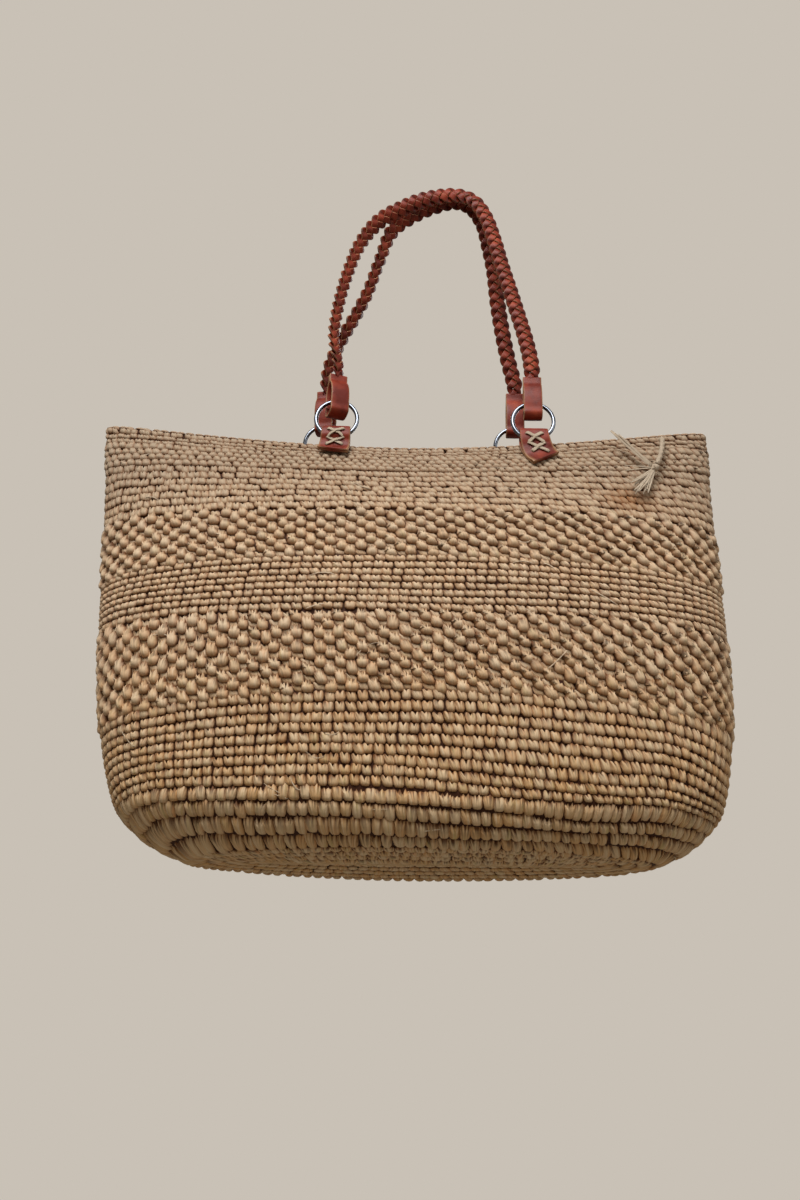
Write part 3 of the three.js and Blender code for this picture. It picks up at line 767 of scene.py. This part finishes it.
def stray_strands():
    """Thin ends of raffia that lie loose on the outside, each a shallow arc that lifts at its ends."""
    parts = []
    share = np.linspace(-1, 1, 7)
    for _ in range(STRAY_STRANDS):
        course, place = chance.uniform(0.3, 8.3), chance.uniform(0, 1)
        reach = chance.uniform(3, 9) * MM / girth_at(course)
        rise = scatter(1, 0, 0.06)[0]
        bow = scatter(1, 0, 0.04)[0]
        out = 0.2 * MM + 0.6 * MM * share**2 * chance.random()
        courses, shares = course + rise * share + bow * share**2, place + reach * share
        path = on_wall(courses, shares, out)
        normals = on_wall(courses, shares, out + MM) - path
        section = rounded_section(chance.uniform(0.5, 1.0) * MM, 0.3 * MM, 6, 2.2)
        parts.append(raffia_strand(path, normals, section, 0.4 * chance.random(), 1 - 0.5 * share**4))
    fit_piece("stray_strands", join_parts(parts), PALE_RAFFIA, "bag_body")


# The tie at the rim's right

TIE_DIAMETER = 4 * MM
TIE_TURNS = 3.5
TIE_STEPS = 36
TIE_ROUTE = np.array([
    [178.5, -14.2, 323], [178.4, -17.6, 321], [178, -20.2, 316], [176.8, -23, 309], [174.6, -26, 301.5],
    [171.6, -28.6, 294.6],
]) * MM + [MODEL_SHIFT, 0, 0]
KNOT_DIAMETER = 8 * MM
KNOT_STRAND = 3.0 * MM
SEAT_GAP = 0.3 * MM
TASSEL_WAY = unit(np.array([-0.52, -0.36, -0.77]))
TASSEL_LENGTH = 27 * MM
TASSEL_STRANDS = 17
TASSEL_SPREAD = 0.26
BLADE_TIP = np.array([140, -27, 321]) * MM + [MODEL_SHIFT, 0, 0]

# Each blade's lean off the way to the tip, its share of the length and its width in millimetres.
BLADES = [(0.0, 0.98, 4.8), (0.05, 0.84, 2.6), (-0.06, 0.66, 1.6)]
SPRIG_FALLS = (0.02, -0.16)
SPRIG_LENGTH = 24 * MM


def twisted_section():
    """Two strands laid round each other: the radius is largest at two opposite sides, and turns."""
    turn = 2 * np.pi * np.arange(16) / 16
    start = 2 * np.pi * TIE_TURNS * np.arange(TIE_STEPS)[:, None] / TIE_STEPS
    radius = TIE_DIAMETER / 2 * (0.72 + 0.28 * np.abs(np.cos(turn[None] - start)))
    return np.stack([radius * np.cos(turn), radius * np.sin(turn)], -1)


def tie_knot(centre, way):
    """An overhand knot: a trefoil, (sin t + 2 sin 2t, cos t - 2 cos 2t, -1.3 sin 3t), carried round."""
    t = np.linspace(0, 2 * np.pi, 90)
    side = unit(np.cross(way, UP))
    front = np.cross(side, way)
    loop = np.stack([np.sin(t) + 2 * np.sin(2 * t), np.cos(t) - 2 * np.cos(2 * t), -1.3 * np.sin(3 * t)], -1)
    loop = loop * (KNOT_DIAMETER / 2 - 1.3 * MM) / 3
    path = centre + loop[:, :1] * side + loop[:, 1:2] * way + loop[:, 2:] * front
    strand = raffia_strand(path, path - centre, rounded_section(KNOT_STRAND, 2.2 * MM, 10, 2.5), 0.25)
    return fit_piece("tie_overhand_knot", strand, PALE_RAFFIA, "tie_knot")


def loose_strand(start, way, bend, length, width, tone):
    """One flat strand: a line from the start that bends by the square of its length and narrows."""
    share = np.linspace(0, 1, 9)[:, None]
    path = start + way * length * share + np.array(bend) * length * share**2
    section = rounded_section(width, 0.45 * MM, 8, 2.5)
    return raffia_strand(path, np.tile([0.2, -1.0, 0.3], (9, 1)), section, tone, 1 - 0.6 * share.ravel() ** 3)


def tie_strands(knot):
    """The tassel's strands fan out below the knot. The blades and two thin sprigs stand up and to the
    left of it."""
    side = unit(np.cross(TASSEL_WAY, [0.0, -1.0, 0.0]))
    tassel = []
    for place in np.linspace(-1, 1, TASSEL_STRANDS):
        way = unit(TASSEL_WAY + side * TASSEL_SPREAD * place + scatter(3, 0, 0.03))
        start = knot + way * KNOT_DIAMETER * 0.35
        tassel.append(loose_strand(start, way, scatter(3, 0, 0.05), TASSEL_LENGTH * scatter(1, 0.98, 0.08)[0],
                                   scatter(1, 1.7, 0.3)[0] * MM, 0.4 + 0.6 * chance.random()))
    rise = BLADE_TIP - knot
    length = float(np.linalg.norm(rise))
    blades = []
    for lean, share, width in BLADES:
        way = unit(unit(rise) + lean * unit(np.cross(rise, [0.0, -1.0, 0.0])))
        start = knot + way * KNOT_DIAMETER * 0.3
        blades.append(loose_strand(start, way, [0.0, -0.04, 0.0], length * share, width * MM, 0.0))
    for fall in SPRIG_FALLS:
        way = unit(np.array([-1.0, -0.22, fall]))
        blades.append(loose_strand(knot, way, [0.0, 0.0, -0.05], SPRIG_LENGTH, 1.0 * MM, 0.8))
    return [fit_piece("tie_tassel_strands", join_parts(tassel), PALE_RAFFIA, "tie_tassel"),
            fit_piece("tie_flat_blades", join_parts(blades), PALE_RAFFIA, "tie_blades")]


def raffia_tie():
    """The twisted cord from the rim to its knot, and what hangs from the knot."""
    path = smooth_path(TIE_ROUTE, TIE_STEPS)
    normals = np.tile([0, -1.0, 0.2], (TIE_STEPS, 1))
    twist = raffia_strand(path, normals, twisted_section(), 0.3)
    cord = fit_piece("tie_twist", twist, PALE_RAFFIA, "tie_cord")
    way = unit(path[-1] - path[-3])
    knot_place = path[-1] + way * (KNOT_DIAMETER / 2 + SEAT_GAP)
    knot = tie_knot(knot_place, way)
    strands = tie_strands(knot_place)


raffia_tie()
bag_core()
base_chain()
crochet_bands()
stray_strands()


# Rings, tabs, strap loops and handles

RING_WIRE = 3.2 * MM
RING_OUTER = 34 * MM
RING_SPACING = 147 * MM
RING_STEPS = 96
WIRE_STEPS = 20
STRAP = 1.7 * MM
STRAP_STEPS = 90
TAB_WIDTH = 21 * MM
TAB_FLARE = 1.14
TAB_DROP = 22.5 * MM
TAB_ROUND = 6.02 * MM
TAB_LEAN = 0.5375
STRAP_POWER = 5.0
CROSS_MIDDLES = (-0.3, -0.6)
CROSS_RISE = 0.16
CROSS_REACH = 6.2 * MM
CROSS_STRAND = 3.3 * MM
CROSS_THICKNESS = 1.1 * MM
LOOP_WIDTH = 14 * MM
LOOP_LOW = 3.7 * MM
LOOP_TOP = 29.3 * MM
FOOT_STRAIGHT = 8 * MM
HANDLE_REACH = 200 * MM
BRAID_STEPS = 560
BRAID_SWING = 3.95 * MM
BRAID_DEPTH = 1.6 * MM
BRAID_EARLY = math.radians(20)
BRAID_STRAP = 5.2 * MM
BRAID_SPLAY = 0.05
BRAID_SHINGLE = 0.45
BRAID_FOOT = 9 * MM
BRAID_FOOT_SIZE = 0.55
BRAID_ROLL = -58
BRAID_ROLL_TURN = 76
BRAID_ROLL_START = 0.30
BRAID_ROLL_SHARE = 0.35
BRAID_CUT = 0.7

# The braid's line, as in the model: across as a share of half the rings' spacing, up as a share of the
# handle's reach.
FRONT_LINE = [
    [-1.05, 0.28], [-1.03, 0.41], [-0.94, 0.585], [-0.8, 0.75], [-0.61, 0.86], [-0.37, 0.925], [-0.11, 0.975],
    [0.23, 1], [0.41, 0.975], [0.54, 0.9], [0.63, 0.79], [0.71, 0.66], [0.8, 0.53], [0.88, 0.41], [0.95, 0.3],
]
BACK_LINE = [
    [-0.97, 0.26], [-0.84, 0.38], [-0.69, 0.49], [-0.57, 0.59], [-0.45, 0.73], [-0.31, 0.87], [-0.08, 0.94],
    [0.14, 0.98], [0.37, 1], [0.54, 0.975], [0.67, 0.9], [0.735, 0.8], [0.79, 0.69], [0.83, 0.54],
    [0.88, 0.41], [0.94, 0.29],
]
joint_places = {joint["name"]: np.array(joint["pos_m"]) for joint in frame["joints"]}


def ring_piece(name, centre, up, body):
    """A torus in the plane of X and up: centre + (R + r cos p)(cos t, sin t) + r sin p square to it."""
    ring, place = np.arange(RING_STEPS)[:, None], np.arange(WIRE_STEPS)
    t, p = 2 * np.pi * ring / RING_STEPS, 2 * np.pi * place / WIRE_STEPS
    away = (RING_OUTER - RING_WIRE) / 2 + RING_WIRE / 2 * np.cos(p)
    square = np.cross(up, ACROSS)
    points = (centre + (away * np.cos(t))[..., None] * ACROSS + (away * np.sin(t))[..., None] * up
              - (RING_WIRE / 2 * np.sin(p))[..., None] * square).reshape(-1, 3)
    row, beyond = ring * WIRE_STEPS, (ring + 1) % RING_STEPS * WIRE_STEPS
    after = (place + 1) % WIRE_STEPS
    quads = np.stack([row + place, beyond + place, beyond + after, row + after], -1).reshape(-1, 4)
    fit_piece(name + "_wire", (points, [quads], {}), STEEL, name, body)


def leather_strap(path, normals, section, width, sizes=1.0):
    """A section carried along a path as a leather strap of this width, with its raw edges marked."""
    points, faces, marks = carry(path, normals, section, sizes)
    cut = np.clip((np.abs(marks["strand"][:, 0]) - 0.44 * width) / (0.05 * width), 0, 1)
    return points, faces, {"cut": cut}


def tab_line(drop):
    """A tab's strip in its own plane, towards the bag and up: up the back, over the wire and down."""
    reach = TAB_ROUND - STRAP / 2
    turn = np.radians(np.arange(0, 196, 15))
    back = [[reach, -drop], [reach, -drop / 2], [reach, -4 * MM]]
    over = reach * np.stack([np.cos(turn), np.sin(turn)], -1)
    front = np.array([[0.4 * MM, 0.48], [2.7 * MM, 0.68], [3.4 * MM, 0.84], [3.4 * MM, 1.03]]) * [1, -drop]
    return smooth_path([*back, *over, [-2.9 * MM, -6.3 * MM], *front], STRAP_STEPS)


def tab_slant(slant, along):
    """How far to one side a tab lies below its ring: by the slant at its end, by the square before."""
    return slant * (np.maximum(-along, 0) / TAB_DROP) ** 2


def tab_piece(name, axis, up, inward, slant, drop):
    """A leather strip folded over the ring's wire. Its free ends lie to one side by the slant."""
    path = tab_line(drop)
    ahead = unit(np.gradient(path, axis=0))
    place = axis + path[:, :1] * inward + path[:, 1:] * up + tab_slant(slant, path[:, 1:]) * ACROSS
    normals = ahead[:, 1:] * inward - ahead[:, :1] * up
    depth = np.clip(-path[:, 1] / TAB_DROP, 0, 1)
    shape = np.repeat(rounded_section(TAB_WIDTH, STRAP, 20, STRAP_POWER)[None], len(path), 0)
    shape[..., 0] *= (1 + (TAB_FLARE - 1) * depth)[:, None]
    strip = leather_strap(place, normals, shape, TAB_WIDTH * 1.07)
    fit_piece(name + "_strip", strip, LEATHER, name)


def cross_stitches(name, axis, up, inward, slant, drop):
    """Two crossed stitches of flat raffia, one above the other: each strand rises out of its hole, lies on
    the leather and dives again, and the second of a pair lies over the first."""
    line = tab_line(drop)[STRAP_STEPS // 2:]
    share = np.linspace(-1, 1, 15)[:, None]
    parts = []
    for middle in CROSS_MIDDLES:
        for way in (-1, 1):
            along = middle * drop + CROSS_RISE * drop * share
            across = way * CROSS_REACH * share + tab_slant(slant, along)
            face = np.interp(-along, -line[:, 1], line[:, 0]) - STRAP / 2
            over = (1.0 + 0.7 * (way > 0) * np.exp(-(share / 0.35) ** 2)) * MM
            lift = over * np.clip(1.6 * (1 - np.abs(share) ** 6), -1, 1) - 0.2 * MM
            path = axis + across * ACROSS + along * up + (face - lift) * inward
            section = rounded_section(CROSS_STRAND, CROSS_THICKNESS, 12, 2.4)
            parts.append(raffia_strand(path, np.tile(-inward, (15, 1)), section, 0.6))
    fit_piece(name + "_strands", join_parts(parts), PALE_RAFFIA, name)


def strap_loop(name, axis, up, outward, body, slack, wide, turned):
    """A flat strap that comes down from the braid, goes round the ring's wire and back up. Slack is how
    far it hangs below its tight place, wide how far it bows, and turned its turn about the handle."""
    turn = np.radians([200, 235, 270, 305, 340])
    side = np.array([[1.0 * MM, 32], [1.3 * MM, 26.5], [0.7 * wide, 21.5], [wide, 15], [wide, 8],
                     [0.9 * wide, 3]]) * [1, MM]
    bend = np.stack([wide * np.cos(turn), LOOP_LOW * np.sin(turn)], -1)
    path = smooth_path(np.array([*(side * [-1, 1]), *bend, *side[::-1]]) - [0, slack], STRAP_STEPS)
    ahead = unit(np.gradient(path, axis=0))
    facing = outward * math.cos(turned) + ACROSS * math.sin(turned)
    place = axis - path[:, :1] * facing + path[:, 1:] * up
    normals = -ahead[:, 1:] * facing - ahead[:, :1] * up
    strap = leather_strap(place, normals, rounded_section(LOOP_WIDTH, STRAP, 20, STRAP_POWER), LOOP_WIDTH)
    fit_piece(name + "_strap", strap, LEATHER, name, body)


def braid_piece(name, centre, up, outward, line, body, slack, pitch):
    """Three flat straps plaited, each a third of a turn after the last. A strap swings across nearly in a
    zigzag, sin t - sin 3t / 11, and in depth by sin 2t. The plait nearly faces the front on the right leg
    and rolls over the top until its edge faces the front on the left leg."""
    half = RING_SPACING / 2
    rises = (LOOP_TOP - slack, LOOP_TOP + FOOT_STRAIGHT)
    feet = [[[side * half, rise] for rise in rises] for side in (-1, 1)]
    middle = [[across * half, rise * HANDLE_REACH] for across, rise in line]
    plane = smooth_path([*feet[0], *middle, *feet[1][::-1]], BRAID_STEPS)
    path = centre + plane[:, :1] * ACROSS + plane[:, 1:] * up
    ahead = unit(np.gradient(path, axis=0))
    beside = unit(np.cross(np.tile(outward, (BRAID_STEPS, 1)), ahead))
    share = np.linspace(0, 1, BRAID_STEPS)[:, None]
    ease = np.clip((share - BRAID_ROLL_START) / BRAID_ROLL_SHARE, 0, 1)
    roll = np.radians(BRAID_ROLL + BRAID_ROLL_TURN * ease * ease * (3 - 2 * ease))
    facing = np.cos(roll) * outward + np.sin(roll) * beside
    across = np.cross(facing, ahead)
    length = float(lengths_along(path)[-1])
    along = share * length
    ends = np.clip(np.minimum(along, length - along) / BRAID_FOOT, 0, 1)
    narrow = BRAID_FOOT_SIZE + (1 - BRAID_FOOT_SIZE) * ends
    section = rounded_section(BRAID_STRAP, STRAP, 16, 4.5)
    parts = []
    for strap in range(3):
        turn = 2 * np.pi * (along / pitch + strap / 3)
        swing, depth = np.sin(turn) - np.sin(3 * turn) / 11, np.sin(2 * turn + BRAID_EARLY)
        middle = path + across * (BRAID_SWING * swing * narrow) + facing * (BRAID_DEPTH * depth * narrow)
        normals = facing + across * (BRAID_SPLAY * swing * depth) - ahead * (BRAID_SHINGLE * depth)
        points, faces, marks = leather_strap(middle, normals, section, BRAID_STRAP, narrow)
        # Painted shade: darkest where a strap dives under the others, in the plait's hollows.
        under = 1 - np.clip(np.abs(depth) / 0.8, 0, 1)
        hollow_shade = np.concatenate([np.repeat(under, len(section)), [0.0, 0.0]])
        parts.append((points, faces, {"cut": BRAID_CUT * marks["cut"], "hollow_shade": hollow_shade}))
    fit_piece(name + "_plait", join_parts(parts), LEATHER, name, body)


def handle_side(label, inside, line, slack, pitch, fittings):
    """One side's tabs, rings, strap loops and handle. Inside is the way from that side into the bag. The
    left and the right fitting each give the tab's slant, drop and lean, and the loop's bow and turn."""
    swing = joint_places[f"{label}_handle_swing"]
    near = math.sqrt((RING_OUTER / 2 - RING_WIRE) ** 2 - (TAB_WIDTH / 2) ** 2)
    folds = [joint_places[f"{label}_{hand}_ring_turn"] for hand in ("left", "right")]
    for hand, fold, (slant, drop, lean, wide, turned) in zip(("left", "right"), folds, fittings):
        tab_up = np.array([0, inside * math.sin(lean), math.cos(lean)])
        tab_inward = np.array([0, inside * math.cos(lean), -math.sin(lean)])
        rise = (swing - fold) * [0, 1, 1]
        up = unit(rise)
        outward = np.cross(up, ACROSS) * -inside
        name = f"{label}_{hand}"
        seat = fold, tab_up, tab_inward, slant, drop
        tab_piece(f"tab_{name}", *seat)
        cross_stitches(f"tab_stitches_{name}", *seat)
        ring_piece(f"ring_{name}", fold + up * (near + RING_OUTER / 2) / 2, up, f"{name}_ring")
        strap_loop(f"strap_loop_{name}", fold + rise, up, outward, f"{label}_handle", slack, wide,
                   math.radians(turned))
    centre = np.array([(folds[0][0] + folds[1][0]) / 2, swing[1], swing[2]])
    facing = np.cross(ACROSS, up)
    braid_piece(f"handle_braid_{label}", centre, up, facing, line, f"{label}_handle", slack, pitch)


handle_side("front", 1, FRONT_LINE, 8 * MM, 22.5 * MM, [
    (-3.5 * MM, 17.5 * MM, TAB_LEAN + 0.12, 7.0 * MM, 20),
    (8 * MM, TAB_DROP, TAB_LEAN, 5.25 * MM, 0),
])
handle_side("back", -1, BACK_LINE, 2 * MM, 25.5 * MM, [
    (2 * MM, TAB_DROP, TAB_LEAN, 6.8 * MM, 12),
    (-3 * MM, TAB_DROP, TAB_LEAN, 5.25 * MM, 0),
])


# Studio

FLOOR_DEPTH = -2.2
FLOOR_HALF = 30.0
LIT_PLACE = np.array([0.0, 0.0, 0.2])

# Each lamp's name, place, size and power.
LAMPS = [
    ("window_light", (-0.3, -1.4, 1.75), 1.3, 52.0),
    ("side_light", (1.6, -0.9, 0.9), 1.2, 6.0),
    ("back_light", (0.5, 1.8, 1.3), 1.5, 16.0),
]


def studio():
    """A pale floor well below the hanging bag, three large soft lamps and a pale world."""
    corners = np.array([[-1, -1, 0], [1, -1, 0], [1, 1, 0], [-1, 1, 0]])
    points = corners * FLOOR_HALF + [0, 0, FLOOR_DEPTH]
    make_piece("floor", (points, [np.array([[0, 1, 2, 3]])], {}), floor_material())
    for name, place, size, power in LAMPS:
        lamp = bpy.data.lights.new(name, "AREA")
        lamp.size = size
        lamp.energy = power
        way = unit(LIT_PLACE - np.array(place))
        side = unit(np.cross(way, UP))
        aimed(name, lamp, place, side, np.cross(side, way), way)
    world = bpy.data.worlds.new("pale_studio")
    world.use_nodes = True
    tree = world.node_tree
    tree.nodes.clear()
    seen = add_node(tree, "ShaderNodeLightPath").outputs["Is Camera Ray"]
    light = add_node(tree, "ShaderNodeBackground", {"Color": linear("#EEE6DA"), "Strength": 0.3})
    backdrop = add_node(tree, "ShaderNodeBackground", {"Color": linear("#C9C1B6"), "Strength": 1.0})
    both = {0: seen, 1: light.outputs[0], 2: backdrop.outputs[0]}
    shown = add_node(tree, "ShaderNodeMixShader", links=both)
    add_node(tree, "ShaderNodeOutputWorld", links={0: shown.outputs[0]})
    bpy.context.scene.world = world
    bpy.context.scene.view_settings.view_transform = "Standard"


studio()
